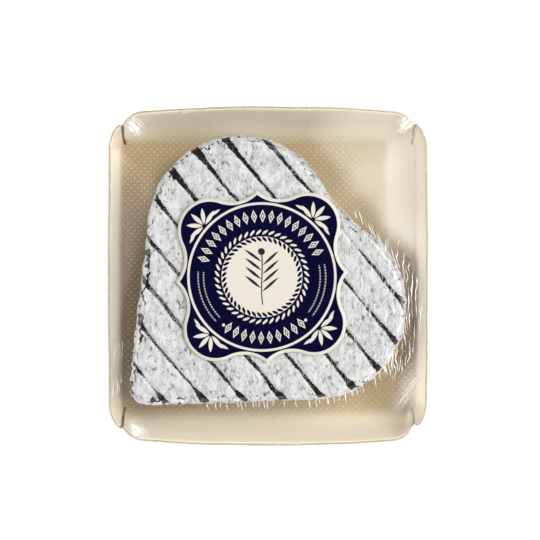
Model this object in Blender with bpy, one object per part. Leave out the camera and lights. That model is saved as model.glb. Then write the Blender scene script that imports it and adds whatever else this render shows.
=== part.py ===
"""A heart of ash-coated goat's cheese on a pressed board tray, wrapped in clear film under a die-cut label.

Metres, +Z up. X runs across the tray and Y along it, with the point of the heart towards -X and -Y. The
origin is the middle of the underside of the wrapped pack.
"""

import math

import bmesh
import bpy
from mathutils import Matrix, Vector, noise

MM = 0.001

# Clear film and the clearance that neighbours keep to each other
FILM = 0.3 * MM
GAP = 0.3 * MM

# Tray: one blank of laminated board, pressed into a shallow dish
BOARD = 0.7 * MM
TRAY_HEIGHT = 13.0 * MM
FLOOR_HALF = Vector((47.5, 43.0)) * MM
FLOOR_CORNER = 3.0 * MM
RIM_HALF = Vector((52.8, 54.8)) * MM
RIM_CORNER = 12.5 * MM
RIM_BOW = Vector((0.3, 1.5)) * MM
FOLD_SHARE = 0.42
SLIT_MOUTH = 0.9 * MM
SLIT_END = 0.35 * MM
SLIT_START_SHARE = 0.12
SIDE_STEPS = 8
CORNER_STEPS = 8
FOLD_STEPS = 4
FLAP_STEPS = 2

# Cheese: a heart of arcs, with its axis from the point to the notch
CHEESE_HEIGHT = 23.4 * MM
HEART_POINT = Vector((-40.2, -37.1)) * MM
HEART_AXIS = math.radians(42.8)
POINT_RADIUS = 5.8 * MM
LOBE_RADIUS = 30.8 * MM
LOBE_ALONG = 58.7 * MM
LOBE_ASIDE = 17.7 * MM
NOTCH_RADIUS = 34.5 * MM
TOP_EDGE = 3.0 * MM
FOOT_EDGE = 3.8 * MM
OUTLINE_STEP = 3.0 * MM
SIDE_BULGE = 0.5 * MM
SIDE_RELIEF = 0.35 * MM
TOP_RELIEF = 0.18 * MM
RELIEF_PITCH = 6.0 * MM
TOP_SHARES = (0.88, 0.72, 0.54, 0.34)

# Ash grooves: the print of the draining rack across the top
GROOVE_COUNT = 9
GROOVE_PITCH = 10.2 * MM
GROOVE_FIRST = 1.6 * MM
GROOVE_TURN = math.radians(40.0)
GROOVE_WIDTH = 1.1 * MM
GROOVE_END_WIDTH = 2.2 * MM
GROOVE_DEPTH = 0.55 * MM
GROOVE_FLARE = 7.0 * MM
GROOVE_OVERRUN = 2.0 * MM

# Label: a square of paper with bulging corners and a pointed tip on each side
LABEL_PAPER = 0.3 * MM
LABEL_CENTRE = Vector((-2.1, -0.3)) * MM
LABEL_TURN = math.radians(3.4)
LABEL_WAIST = 25.35 * MM
LABEL_WAIST_ASIDE = 8.0 * MM
LABEL_REACH = 33.74 * MM
LABEL_CORNER = 10.69 * MM

# Film: the lap seam left open under the floor, and how much it sags between cheese and rim
SEAM_HALF = Vector((30.0, 0.8)) * MM
SEAM_CORNER = 0.6 * MM
SAG_SHARE = 0.03
TENT_STEPS = 4

FILM_OFFSET = GAP + FILM / 2
FLOOR_MIDDLE = FILM + GAP + BOARD / 2
CHEESE_FOOT = FLOOR_MIDDLE + BOARD / 2 + GAP
CHEESE_TOP = CHEESE_FOOT + CHEESE_HEIGHT


def clear_scene():
    for thing in list(bpy.data.objects):
        bpy.data.objects.remove(thing)


def finish(name, sculpt, colour, roughness, alpha=1.0):
    """Makes a named object of a bmesh, shaded smooth, with its own material."""
    mesh = bpy.data.meshes.new(name)
    sculpt.to_mesh(mesh)
    sculpt.free()
    mesh.shade_smooth()
    mesh.set_sharp_from_angle(angle=math.radians(35))
    material = bpy.data.materials.new(name)
    material.use_nodes = True
    shader = material.node_tree.nodes["Principled BSDF"]
    shader.inputs["Base Color"].default_value = (*colour, 1.0)
    shader.inputs["Roughness"].default_value = roughness
    shader.inputs["Metallic"].default_value = 0.0
    shader.inputs["Alpha"].default_value = alpha
    mesh.materials.append(material)
    thing = bpy.data.objects.new(name, mesh)
    bpy.context.scene.collection.objects.link(thing)
    return thing


def hide_cutter(cutter):
    cutter.hide_render = True
    cutter.display_type = "WIRE"


def cut(thing, cutter):
    """Takes the cutter's shape out of the thing, with Blender's exact Boolean."""
    modifier = thing.modifiers.new("cut_" + cutter.name, "BOOLEAN")
    modifier.operation = "DIFFERENCE"
    modifier.object = cutter
    modifier.solver = "EXACT"


def thicken(thing, thickness):
    """Gives a sheet its thickness, half to each side of the modelled surface."""
    modifier = thing.modifiers.new("thickness", "SOLIDIFY")
    modifier.thickness = thickness
    modifier.offset = 0.0
    modifier.use_even_offset = True


def loft(rings, close_first, close_last):
    """A bmesh skin through rings of as many points each, with a face over the first or the last ring."""
    sculpt = bmesh.new()
    loops = [[sculpt.verts.new(point) for point in ring] for ring in rings]
    for lower, upper in zip(loops, loops[1:]):
        for i in range(len(lower)):
            j = (i + 1) % len(lower)
            sculpt.faces.new((lower[i], lower[j], upper[j], upper[i]))
    if close_first:
        sculpt.faces.new(reversed(loops[0]))
    if close_last:
        sculpt.faces.new(loops[-1])
    bmesh.ops.recalc_face_normals(sculpt, faces=sculpt.faces[:])
    return sculpt


def raised(point, height):
    return Vector((point[0], point[1], height))


def rounded_frame(half, radius, bow=Vector((0.0, 0.0))):
    """A rounded rectangle, counterclockwise from the foot of its +X side. Its sides bow out by bow."""
    corner = half - Vector((radius, radius))
    points = []
    for quarter in range(4):
        turn = Matrix.Rotation(quarter * math.pi / 2, 2)
        upright = quarter % 2 == 0
        reach, width = (half.x, corner.y) if upright else (half.y, corner.x)
        swell = bow.x if upright else bow.y
        for step in range(SIDE_STEPS):
            share = 2 * step / SIDE_STEPS - 1
            points.append(turn @ Vector((reach + swell * (1 - share * share), width * share)))
        for step in range(CORNER_STEPS):
            angle = math.pi / 2 * step / CORNER_STEPS
            arc = Vector((reach - radius, width)) + radius * Vector((math.cos(angle), math.sin(angle)))
            points.append(turn @ arc)
    return points


def wall_profile(run):
    """The wall from floor to rim as (out, up, lean): a fold tangent to the floor, then a flap."""
    fold = FOLD_SHARE * run
    rise = TRAY_HEIGHT - BOARD / 2 - fold
    lean = math.atan2(rise, run) + math.asin(fold / math.hypot(run, rise))
    points = []
    for step in range(FOLD_STEPS + 1):
        angle = lean * step / FOLD_STEPS
        points.append((fold * math.sin(angle), fold * (1 - math.cos(angle)), angle))
    out, up, _ = points[-1]
    for step in range(1, FLAP_STEPS + 1):
        share = step / FLAP_STEPS
        points.append((out + (run - out) * share, up + (rise + fold - up) * share, lean))
    return points


def tray_stations():
    """For each station round the tray: where its wall starts, the way out, and the wall's profile."""
    floor = rounded_frame(FLOOR_HALF, FLOOR_CORNER)
    rim = rounded_frame(RIM_HALF, RIM_CORNER, RIM_BOW)
    return [(a, (b - a).normalized(), wall_profile((b - a).length)) for a, b in zip(floor, rim)]


def wall_point(station, step, offset):
    """A point on a station's wall, offset out of the tray, square to the board."""
    start, way, profile = station
    out, up, lean = profile[step]
    spot = start + way * (out + offset * math.sin(lean))
    return raised(spot, FLOOR_MIDDLE + up - offset * math.cos(lean))


def slit_blades(stations):
    """Four wedges that part the flaps, each from near the floor's corner out through the rim."""
    blades = bmesh.new()
    for quarter in range(4):
        middle = quarter * (SIDE_STEPS + CORNER_STEPS) + SIDE_STEPS + CORNER_STEPS // 2
        start, way, profile = stations[middle]
        side = Vector((-way.y, way.x))
        run = profile[-1][0]
        inner = start + way * run * SLIT_START_SHARE
        outer = start + way * (run + 4 * MM)
        outline = [
            inner - side * SLIT_END / 2,
            outer - side * SLIT_MOUTH / 2,
            outer + side * SLIT_MOUTH / 2,
            inner + side * SLIT_END / 2,
        ]
        foot = [blades.verts.new(raised(point, -MM)) for point in outline]
        face = blades.faces.new(foot)
        wall = bmesh.ops.extrude_face_region(blades, geom=[face])["geom"]
        top = [item for item in wall if isinstance(item, bmesh.types.BMVert)]
        bmesh.ops.translate(blades, verts=top, vec=(0, 0, TRAY_HEIGHT + 6 * MM))
    bmesh.ops.recalc_face_normals(blades, faces=blades.faces[:])
    return blades


def make_tray(stations):
    steps = len(stations[0][2])
    rings = [[wall_point(station, step, 0.0) for station in stations] for step in range(steps)]
    tray = finish("tray", loft(rings, True, False), (0.56, 0.45, 0.29), 0.45)
    thicken(tray, BOARD)
    blades = finish("tray_slit_blades", slit_blades(stations), (0.2, 0.2, 0.2), 0.5)
    hide_cutter(blades)
    cut(tray, blades)
    return tray


def heart_outline(spacing):
    """The heart as (point, outward normal) pairs, counterclockwise, about one every spacing."""
    reach = math.hypot(LOBE_ALONG, LOBE_ASIDE)
    side = math.atan2(LOBE_ASIDE, LOBE_ALONG) + math.asin((LOBE_RADIUS - POINT_RADIUS) / reach)
    side += math.pi / 2
    notch = LOBE_ALONG + math.sqrt((LOBE_RADIUS + NOTCH_RADIUS) ** 2 - LOBE_ASIDE**2)
    inner = math.atan2(-LOBE_ASIDE, notch - LOBE_ALONG)

    def arc(centre, radius, start, end, hollow=False):
        count = max(3, round(abs(end - start) * radius / spacing))
        for step in range(count):
            angle = start + (end - start) * step / count
            ray = Vector((math.cos(angle), math.sin(angle)))
            yield Vector(centre) + ray * radius, -ray if hollow else ray

    left = list(arc((0, 0), POINT_RADIUS, math.pi, side))
    flank_start = Vector((math.cos(side), math.sin(side))) * POINT_RADIUS
    lobe = Vector((LOBE_ALONG, LOBE_ASIDE))
    flank_end = lobe + Vector((math.cos(side), math.sin(side))) * LOBE_RADIUS
    count = round((flank_end - flank_start).length / spacing)
    square = Vector((math.cos(side), math.sin(side)))
    left += [(flank_start.lerp(flank_end, step / count), square) for step in range(count)]
    left += list(arc(lobe, LOBE_RADIUS, side, inner))
    left += list(arc((notch, 0), NOTCH_RADIUS, inner + math.pi, math.pi, hollow=True))
    left.append((Vector((notch - NOTCH_RADIUS, 0)), Vector((1, 0))))

    right = [(Vector((p.x, -p.y)), Vector((n.x, -n.y))) for p, n in left[1:-1]]
    turn = Matrix.Rotation(HEART_AXIS, 2)
    return [(HEART_POINT + turn @ p, turn @ n) for p, n in reversed(left)][:-1] + [
        (HEART_POINT + turn @ p, turn @ n) for p, n in [left[0]] + right
    ]


def rough(point, height, seed):
    """Smooth noise from about -1 to 1, with lumps of the relief's pitch."""
    return noise.noise(raised(point, height) / RELIEF_PITCH + Vector((seed, 2 * seed, 3 * seed)))


def side_profile():
    """The cheese's side, foot to top, as (inset from the outline, height above its foot)."""
    points = []
    for step in range(4):
        angle = math.pi / 2 * step / 3
        points.append((FOOT_EDGE * (1 - math.sin(angle)), FOOT_EDGE * (1 - math.cos(angle))))
    straight = CHEESE_HEIGHT - FOOT_EDGE - TOP_EDGE
    for share in (0.33, 0.67):
        bulge = SIDE_BULGE * math.sin(math.pi * share)
        points.append((-bulge, FOOT_EDGE + straight * share))
    for step in range(5):
        angle = math.pi / 2 * step / 4
        rise = CHEESE_HEIGHT - TOP_EDGE + TOP_EDGE * math.sin(angle)
        points.append((TOP_EDGE * (1 - math.cos(angle)), rise))
    return points


def groove_cutters(outline):
    """One V-shaped bar for each ash groove, wider where it runs out over the cheese's edge."""
    along = Vector((math.cos(GROOVE_TURN), math.sin(GROOVE_TURN)))
    across = Vector((-along.y, along.x))
    bars = bmesh.new()
    for index in range(GROOVE_COUNT):
        place = HEART_POINT + along * (GROOVE_FIRST + GROOVE_PITCH * index)
        ends = chord(outline, place, along, across)
        stops = [
            (ends[0] - GROOVE_OVERRUN, GROOVE_END_WIDTH),
            (ends[0] + GROOVE_FLARE, GROOVE_WIDTH),
            (ends[1] - GROOVE_FLARE, GROOVE_WIDTH),
            (ends[1] + GROOVE_OVERRUN, GROOVE_END_WIDTH),
        ]
        if ends[1] - ends[0] < 3 * GROOVE_FLARE:
            stops[1:3] = [(sum(ends) / 2, GROOVE_WIDTH)]
        sections = []
        for reach, width in stops:
            middle = place + across * reach
            half = along * width
            low = raised(middle, CHEESE_TOP - GROOVE_DEPTH)
            high = CHEESE_TOP + GROOVE_DEPTH
            corners = (low, raised(middle + half, high), raised(middle - half, high))
            sections.append([bars.verts.new(corner) for corner in corners])
        for near, far in zip(sections, sections[1:]):
            for i in range(3):
                j = (i + 1) % 3
                bars.faces.new((near[i], near[j], far[j], far[i]))
        bars.faces.new(reversed(sections[0]))
        bars.faces.new(sections[-1])
    bmesh.ops.recalc_face_normals(bars, faces=bars.faces[:])
    return bars


def chord(outline, place, along, across):
    """The least and greatest reach, from place along across, at which that line crosses the heart."""
    reaches = []
    for (a, _), (b, _) in zip(outline, outline[1:] + outline[:1]):
        before, after = (a - place).dot(along), (b - place).dot(along)
        if (before < 0) != (after < 0):
            spot = a.lerp(b, before / (before - after))
            reaches.append((spot - place).dot(across))
    return min(reaches), max(reaches)


def make_cheese():
    outline = heart_outline(OUTLINE_STEP)
    rings = []
    for inset, height in side_profile():
        ring = []
        for point, normal in outline:
            share = min(1.0, height / FOOT_EDGE) * SIDE_RELIEF
            spot = point + normal * (share * rough(point, height, 1) - SIDE_RELIEF - inset)
            ring.append(raised(spot, CHEESE_FOOT + height))
        rings.append(ring)
    centre = sum((point for point, _ in outline), Vector((0, 0))) / len(outline)
    brim = rings[-1]
    for share in TOP_SHARES:
        spots = [centre.lerp(corner.xy, share) for corner in brim]
        rings.append([raised(spot, CHEESE_TOP - TOP_RELIEF * (1 + rough(spot, 0, 2))) for spot in spots])
    cheese = finish("cheese", loft(rings, True, True), (0.62, 0.62, 0.61), 0.85)
    bars = finish("cheese_groove_bars", groove_cutters(outline), (0.02, 0.02, 0.02), 0.9)
    hide_cutter(bars)
    cut(cheese, bars)
    return cheese


def label_outline():
    """The die-cut label about its own centre: a pointed tip on each side, and round corners between."""
    middle = (LABEL_REACH - LABEL_CORNER) / math.sqrt(2)
    inward = LABEL_WAIST - middle
    aside = middle - LABEL_WAIST_ASIDE
    hollow = (inward**2 + aside**2 - LABEL_CORNER**2) / (2 * (LABEL_CORNER - inward))
    hollow_centre = Vector((LABEL_WAIST + hollow, LABEL_WAIST_ASIDE))
    touch = (hollow_centre - Vector((middle, middle))).normalized()
    tip_angle = math.pi + math.asin(LABEL_WAIST_ASIDE / hollow)
    touch_angle = math.pi + math.atan2(touch.y, touch.x)
    eighth = []
    for step in range(7):
        angle = tip_angle + (touch_angle - tip_angle) * step / 6
        eighth.append(hollow_centre + hollow * Vector((math.cos(angle), math.sin(angle))))
    start = touch_angle - math.pi
    for step in range(1, 6):
        angle = start + (math.pi / 4 - start) * step / 5
        arc = Vector((middle, middle)) + LABEL_CORNER * Vector((math.cos(angle), math.sin(angle)))
        eighth.append(arc)
    quarter = eighth + [Vector((p.y, p.x)) for p in reversed(eighth[1:-1])]
    return [Matrix.Rotation(turn * math.pi / 2, 2) @ point for turn in range(4) for point in quarter]


def make_label():
    turn = Matrix.Rotation(LABEL_TURN, 2)
    foot = CHEESE_TOP + FILM + 2 * GAP
    outline = [LABEL_CENTRE + turn @ point for point in label_outline()]
    rings = [[raised(point, foot + lift) for point in outline] for lift in (0.0, LABEL_PAPER)]
    return finish("label", loft(rings, True, True), (0.01, 0.01, 0.08), 0.5)


def cheese_edge_towards(outline, angle):
    """Where a ray from the label's centre leaves the heart, and the edge's outward normal there."""
    way = Vector((math.cos(angle), math.sin(angle)))
    aside = Vector((-way.y, way.x))
    best = None
    for (a, normal_a), (b, normal_b) in zip(outline, outline[1:] + outline[:1]):
        before, after = (a - LABEL_CENTRE).dot(aside), (b - LABEL_CENTRE).dot(aside)
        if (before < 0) != (after < 0):
            share = before / (before - after)
            spot = a.lerp(b, share)
            if (spot - LABEL_CENTRE).dot(way) > 0:
                best = (spot, normal_a.lerp(normal_b, share).normalized())
    return best


def film_section(station, outline):
    """The film at one station, from the cheese's top, round the rim, to the floor's underside."""
    _, way, profile = station
    last = len(profile) - 1
    lean = profile[last][2]
    past_rim = raised(way * math.cos(lean), math.sin(lean)) * FILM_OFFSET
    rim_inner = wall_point(station, last, -BOARD / 2) + past_rim
    rim_outer = wall_point(station, last, BOARD / 2 + FILM_OFFSET) + past_rim

    from_centre = rim_inner.xy - LABEL_CENTRE
    spot, normal = cheese_edge_towards(outline, math.atan2(from_centre.y, from_centre.x))
    drop = CHEESE_TOP - rim_inner.z
    slope = math.atan2(drop, (rim_inner.xy - spot).length)
    brink = spot - normal * TOP_EDGE
    leave = brink + normal * (TOP_EDGE + FILM_OFFSET) * math.sin(slope)
    leave_height = CHEESE_TOP - TOP_EDGE + (TOP_EDGE + FILM_OFFSET) * math.cos(slope)
    half = slope / 2
    shoulder = brink + normal * (TOP_EDGE + FILM_OFFSET) * math.sin(half)
    shoulder_height = CHEESE_TOP - TOP_EDGE + (TOP_EDGE + FILM_OFFSET) * math.cos(half)

    crown = CHEESE_TOP + FILM_OFFSET
    section = [
        raised(LABEL_CENTRE.lerp(brink, 0.5), crown),
        raised(brink, crown),
        raised(shoulder, shoulder_height),
        raised(leave, leave_height),
    ]
    taut = section[-1]
    span = (rim_inner - taut).length
    for step in range(1, TENT_STEPS):
        share = step / TENT_STEPS
        sag = 4 * SAG_SHARE * span * share * (1 - share)
        section.append(taut.lerp(rim_inner, share) - Vector((0, 0, sag)))
    section += [rim_inner, rim_outer]
    section += [wall_point(station, step, BOARD / 2 + FILM_OFFSET) for step in range(last - 1, -1, -1)]
    return section


def make_film(stations):
    outline = heart_outline(OUTLINE_STEP)
    sections = [film_section(station, outline) for station in stations]
    rings = [[section[step] for section in sections] for step in range(len(sections[0]))]
    rings.append([raised(point, FILM / 2) for point in rounded_frame(SEAM_HALF, SEAM_CORNER)])
    film = finish("film", loft(rings, True, False), (0.9, 0.9, 0.9), 0.08, alpha=0.2)
    thicken(film, FILM)
    return film


def main():
    clear_scene()
    stations = tray_stations()
    make_tray(stations)
    make_cheese()
    make_label()
    make_film(stations)


main()
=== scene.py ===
import math

import bmesh
import bpy
from mathutils import Matrix, Vector, geometry, kdtree, noise


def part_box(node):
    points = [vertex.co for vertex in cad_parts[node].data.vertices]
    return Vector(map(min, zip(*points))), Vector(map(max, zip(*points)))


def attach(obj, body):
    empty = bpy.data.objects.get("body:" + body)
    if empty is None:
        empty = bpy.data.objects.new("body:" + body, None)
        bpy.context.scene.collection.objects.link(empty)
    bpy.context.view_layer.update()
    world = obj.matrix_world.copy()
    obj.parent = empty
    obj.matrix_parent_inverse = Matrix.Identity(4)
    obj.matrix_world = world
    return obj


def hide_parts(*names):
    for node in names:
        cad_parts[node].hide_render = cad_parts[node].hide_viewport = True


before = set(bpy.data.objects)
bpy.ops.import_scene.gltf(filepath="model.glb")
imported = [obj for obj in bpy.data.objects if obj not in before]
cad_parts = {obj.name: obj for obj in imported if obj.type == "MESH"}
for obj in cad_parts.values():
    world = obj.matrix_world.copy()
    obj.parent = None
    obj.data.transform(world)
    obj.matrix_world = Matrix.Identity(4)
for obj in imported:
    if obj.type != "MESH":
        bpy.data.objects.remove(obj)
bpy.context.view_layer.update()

MM = 0.001


# Studio. A white table in a white room, under a camera far above that looks straight down. The room is
# brightest low down. Six soft lamps round it light the pack, the strongest from the upper right.
PICTURE_WIDTH = 180 * MM
PICTURE_CENTRE = Vector((0.58, 2.0)) * MM
CAMERA_HEIGHT = 1500 * MM
SENSOR_WIDTH = 36
RIM_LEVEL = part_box("tray")[1].z
TABLE_RADIUS = 2500 * MM
TABLE_GREY = 0.4
TABLE_GLOW = 0.72
WALL_GLOW = 0.75
CEILING_GLOW = 0.1
# The lamps: the bearing of each, its tilt from overhead, where it is full and where it is gone, all in
# degrees, and its radiance.
LAMPS = (
    (45, 30, 3, 24, 3.8),
    (14, 50, 8, 34, 3.0),
    (0, 64, 6, 30, 3.0),
    (180, 70, 6, 28, 2.8),
    (-90, 64, 6, 34, 1.8),
    (180, 45, 4, 12, 1.5),
)


class Value:
    """A number or colour that varies over a surface: a shader socket that can stand in a sum."""

    def __init__(self, nodes, socket):
        self.nodes = nodes
        self.socket = socket

    def math(self, operation, *others):
        return self.nodes.node("Math", {"operation": operation}, dict(enumerate((self, *others))))

    def __add__(self, other):
        return self.math("ADD", other)

    def __sub__(self, other):
        return self.math("SUBTRACT", other)

    def __mul__(self, other):
        return self.math("MULTIPLY", other)

    def __truediv__(self, other):
        return self.math("DIVIDE", other)

    def __pow__(self, other):
        return self.math("POWER", other)

    def __rsub__(self, other):
        return self.nodes.node("Math", {"operation": "SUBTRACT"}, {0: other, 1: self})

    def __rtruediv__(self, other):
        return self.nodes.node("Math", {"operation": "DIVIDE"}, {0: other, 1: self})

    def __abs__(self):
        return self.math("ABSOLUTE")

    __radd__ = __add__
    __rmul__ = __mul__


class Nodes:
    """The nodes of a material or of the room."""

    def __init__(self, tree):
        self.tree = tree

    def node(self, kind, settings=None, inputs=None, output=0):
        made = self.tree.nodes.new("ShaderNode" + kind)
        for setting, value in (settings or {}).items():
            setattr(made, setting, value)
        for socket, value in (inputs or {}).items():
            if isinstance(value, Value):
                self.tree.links.new(value.socket, made.inputs[socket])
            else:
                made.inputs[socket].default_value = value
        return Value(self, made.outputs[output])

    def place(self, centre=(0, 0, 0), turn=0.0):
        """The place on the piece, in millimetres from centre, with the axes turned."""
        here = self.node("TexCoord", output=3)
        moved = self.node("VectorMath", {"operation": "SUBTRACT"}, {0: here, 1: centre})
        turned = self.node("VectorRotate", {"rotation_type": "Z_AXIS"}, {"Vector": moved, "Angle": -turn})
        return self.node("VectorMath", {"operation": "SCALE"}, {0: turned, "Scale": 1 / MM})

    def split(self, vector):
        parts = self.node("SeparateXYZ", inputs={0: vector}).socket.node
        return [Value(self, socket) for socket in parts.outputs]

    def join(self, x, y, z=0.0):
        return self.node("CombineXYZ", inputs={0: x, 1: y, 2: z})

    def mottle(self, place, size, detail=2.0, roughness=0.5):
        """Smooth noise from 0 to 1, with lumps of size millimetres."""
        options = {"Vector": place, "Scale": 1 / size, "Detail": detail, "Roughness": roughness}
        return self.node("TexNoise", {"noise_dimensions": "3D"}, options)

    def ramp(self, value, start, end, low=0.0, high=1.0):
        """Eases from low at start to high at end."""
        options = {"Value": value, 1: start, 2: end, 3: low, 4: high}
        return self.node("MapRange", {"interpolation_type": "SMOOTHSTEP"}, options)

    def blend(self, share, first, second):
        """The colour first where share is 0 and second where it is 1."""
        return self.node("Mix", {"data_type": "RGBA"}, {0: share, 6: first, 7: second}, output=2)

    def coats(self, base, *coats):
        """The colour base, with each coat's (share, colour) laid over what is below it."""
        for share, coat in coats:
            base = self.blend(share, base, coat)
        return base

    def attribute(self, name):
        return self.node("Attribute", {"attribute_name": name}, output=2)

    def relief(self, height, depth):
        """The normal of a surface raised by height times depth, in millimetres."""
        return self.node("Bump", inputs={"Strength": 1.0, "Distance": depth * MM, "Height": height})


class Finish(Nodes):
    """One material: a surface and the nodes that vary it."""

    def __init__(self, name, **settings):
        self.material = bpy.data.materials.new(name)
        self.material.use_nodes = True
        super().__init__(self.material.node_tree)
        self.shader = self.tree.nodes["Principled BSDF"]
        for socket, value in settings.items():
            self.shader.inputs[socket.replace("_", " ").title().replace("Ior", "IOR")].default_value = value

    def feed(self, socket, value):
        self.tree.links.new(value.socket, self.shader.inputs[socket])


def colour(red, green, blue):
    """A screen colour, 0 to 255, as the share of the light that a surface sends back."""
    return tuple(((c / 255 + 0.055) / 1.055) ** 2.4 if c > 10 else c / 255 / 12.92
                 for c in (red, green, blue)) + (1.0,)


def show(name, sculpt, *finishes):
    """Makes a smooth object of a bmesh, with its materials."""
    mesh = bpy.data.meshes.new(name)
    sculpt.to_mesh(mesh)
    sculpt.free()
    mesh.shade_smooth()
    for finish in finishes:
        mesh.materials.append(finish.material)
    piece = bpy.data.objects.new(name, mesh)
    bpy.context.scene.collection.objects.link(piece)
    return piece


def raised(point, height):
    """A point of the plan, lifted to a height."""
    return Vector((point[0], point[1], height))


def heading(angle):
    """The unit vector at an angle from +X."""
    return Vector((math.cos(angle), math.sin(angle)))


camera = bpy.data.objects.new("camera", bpy.data.cameras.new("camera"))
camera.location = (*PICTURE_CENTRE, CAMERA_HEIGHT)
camera.data.sensor_width = SENSOR_WIDTH
camera.data.lens = SENSOR_WIDTH * (CAMERA_HEIGHT - RIM_LEVEL) / PICTURE_WIDTH
bpy.context.scene.collection.objects.link(camera)
bpy.context.scene.camera = camera
bpy.context.scene.view_settings.view_transform = "Standard"

room = bpy.data.worlds.new("white_room")
room.use_nodes = True
bpy.context.scene.world = room
sky = Nodes(room.node_tree)
gaze = sky.node("TexCoord", output=0)


def glow(bearing, tilt, core, reach, radiance):
    """A soft round lamp: full within core degrees of its middle, gone at reach."""
    tilt = math.radians(tilt)
    way = raised(heading(math.radians(bearing)) * math.sin(tilt), math.cos(tilt))
    facing = sky.node("VectorMath", {"operation": "DOT_PRODUCT"}, {0: gaze, 1: way}, output=1)
    return sky.ramp(facing, math.cos(math.radians(reach)), math.cos(math.radians(core)), 0.0, radiance)


strength = sky.ramp(sky.split(gaze)[2], 0.1, 0.95, WALL_GLOW, CEILING_GLOW)
for lamp in LAMPS:
    strength += glow(*lamp)
backdrop = room.node_tree.nodes["Background"].inputs
sky.tree.links.new(strength.socket, backdrop["Strength"])
backdrop["Color"].default_value = (1, 1, 1, 1)

table_white = Finish("table_white", base_color=(TABLE_GREY, TABLE_GREY, TABLE_GREY, 1), roughness=0.8,
                     emission_color=(1, 1, 1, 1), emission_strength=TABLE_GLOW)
slab = bmesh.new()
bmesh.ops.create_circle(slab, cap_ends=True, segments=96, radius=TABLE_RADIUS)
table = show("table", slab, table_white)


# Tray. A blank of laminated board, pressed so that four flaps stand up round a flat floor. Each corner
# is slit, and there the long flaps' rounded shoulders lie over the short ones. The tan face has paler dots.
BOARD = 0.7 * MM
TRAY_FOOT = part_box("tray")[0].z
FLOOR_HALF = Vector((47.5, 43.0)) * MM
FLOOR_CORNER = 3.0 * MM
RIM_HALF = Vector((52.8, 54.8)) * MM
RIM_CORNER = 12.5 * MM
RIM_BOW = Vector((0.3, 1.5)) * MM
FOLD_SHARE = 0.42
FOLD_STEPS = 8
FLAP_STEPS = 8
SIDE_STEPS = 40
CORNER_STEPS = 32
SLIT_ROW = 3
SLIT_BOW = 1.0 * MM
SLIT_BOW_WIDTH = 3.0 * MM
LAP = 0.35 * MM
LAP_LIFT = 0.42 * MM
LAP_STEPS = 4
# How deep and how wide a flap dips beside a slit, for a short flap and for a long one, and how much
# deeper beside the one slit that gapes.
SHOULDERS = ((1.0 * MM, 1.6 * MM), (2.4 * MM, 3.2 * MM))
OPEN_SLIT = 1.6
BUCKLE = 0.22 * MM
BUCKLE_SIZE = 15 * MM
FLOOR_LEVEL = TRAY_FOOT + BOARD / 2
TRAY_RISE = 13.0 * MM - BOARD / 2
DOT_PITCH = 1.55
DOT_RADIUS = 0.27
DOT_BLUR = 0.14
TAN = colour(187, 162, 121)
LIGHT_TAN = colour(194, 170, 131)
# Painted shade: the floor colour in the narrow gaps beside the cheese.
GAP_SHADE_TAN = colour(160, 127, 82)
# Painted light: the pale colour of the side flaps and of a floor patch right of the cheese.
PAINTED_LIGHT_TAN = colour(250, 240, 219)
# Painted light: the end flaps' pale cream, at the fold and at the rim.
END_FOLD_LIGHT_TAN = colour(244, 230, 203)
END_RIM_LIGHT_TAN = colour(226, 214, 192)
GRAIN_TAN = colour(160, 134, 95)
FLOOR_DOT = colour(232, 218, 186)
FLAP_DOT = colour(254, 246, 226)
# Painted highlight: the cream line along the rim, where the film wraps round it.
RIM_HIGHLIGHT_CREAM = colour(244, 237, 221)
# Painted shade: the dark line along each slit.
SLIT_SHADE_BROWN = colour(112, 68, 34)
BARE_TAN = colour(188, 166, 132)
BARE_BROWN = colour(158, 134, 102)
BARE_PALE = colour(204, 184, 152)


def rounded_frame(half, radius, bow=Vector((0.0, 0.0)), sides=SIDE_STEPS, corners=CORNER_STEPS):
    """A rounded rectangle, counterclockwise from the foot of its +X side. Its sides bow out by bow."""
    inner = half - Vector((radius, radius))
    points = []
    for quarter in range(4):
        turn = Matrix.Rotation(quarter * math.pi / 2, 2)
        reach, width, swell = (half.x, inner.y, bow.x) if quarter % 2 == 0 else (half.y, inner.x, bow.y)
        for step in range(sides):
            share = 2 * step / sides - 1
            points.append(turn @ Vector((reach + swell * (1 - share * share), width * share)))
        for step in range(corners):
            arc = Vector((reach - radius, width)) + radius * heading(math.pi / 2 * step / corners)
            points.append(turn @ arc)
    return points


def wall_profile(run):
    """The wall from floor to rim as (out, up, lean): a fold tangent to the floor, then a flap."""
    fold = FOLD_SHARE * run
    rise = TRAY_RISE - fold
    lean = math.atan2(rise, run) + math.asin(fold / math.hypot(run, rise))
    arc = [lean * step / FOLD_STEPS for step in range(FOLD_STEPS + 1)]
    points = [(fold * math.sin(angle), fold * (1 - math.cos(angle)), angle) for angle in arc]
    out, up, _ = points[-1]
    for step in range(1, FLAP_STEPS + 1):
        share = step / FLAP_STEPS
        points.append((out + (run - out) * share, up + (TRAY_RISE - up) * share, lean))
    return points


class Station:
    """One upright cut through the tray's wall."""

    def __init__(self, foot, lip):
        self.foot = foot
        self.way = (lip - foot).normalized()
        self.profile = wall_profile((lip - foot).length)

    def place(self, step, offset):
        """A point on the wall, offset out of the tray, square to the board."""
        out, up, lean = self.profile[step]
        spot = self.foot + self.way * (out + offset * math.sin(lean))
        return raised(spot, FLOOR_LEVEL + up - offset * math.cos(lean))

    def run(self, step):
        """Length of board from the floor to a step."""
        return sum(math.dist(a[:2], b[:2]) for a, b in zip(self.profile[:step], self.profile[1:]))


def stations_round(sides, corners):
    """The stations all round the tray."""
    feet = rounded_frame(FLOOR_HALF, FLOOR_CORNER, sides=sides, corners=corners)
    lips = rounded_frame(RIM_HALF, RIM_CORNER, RIM_BOW, sides, corners)
    return [Station(*ends) for ends in zip(feet, lips)]


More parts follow.
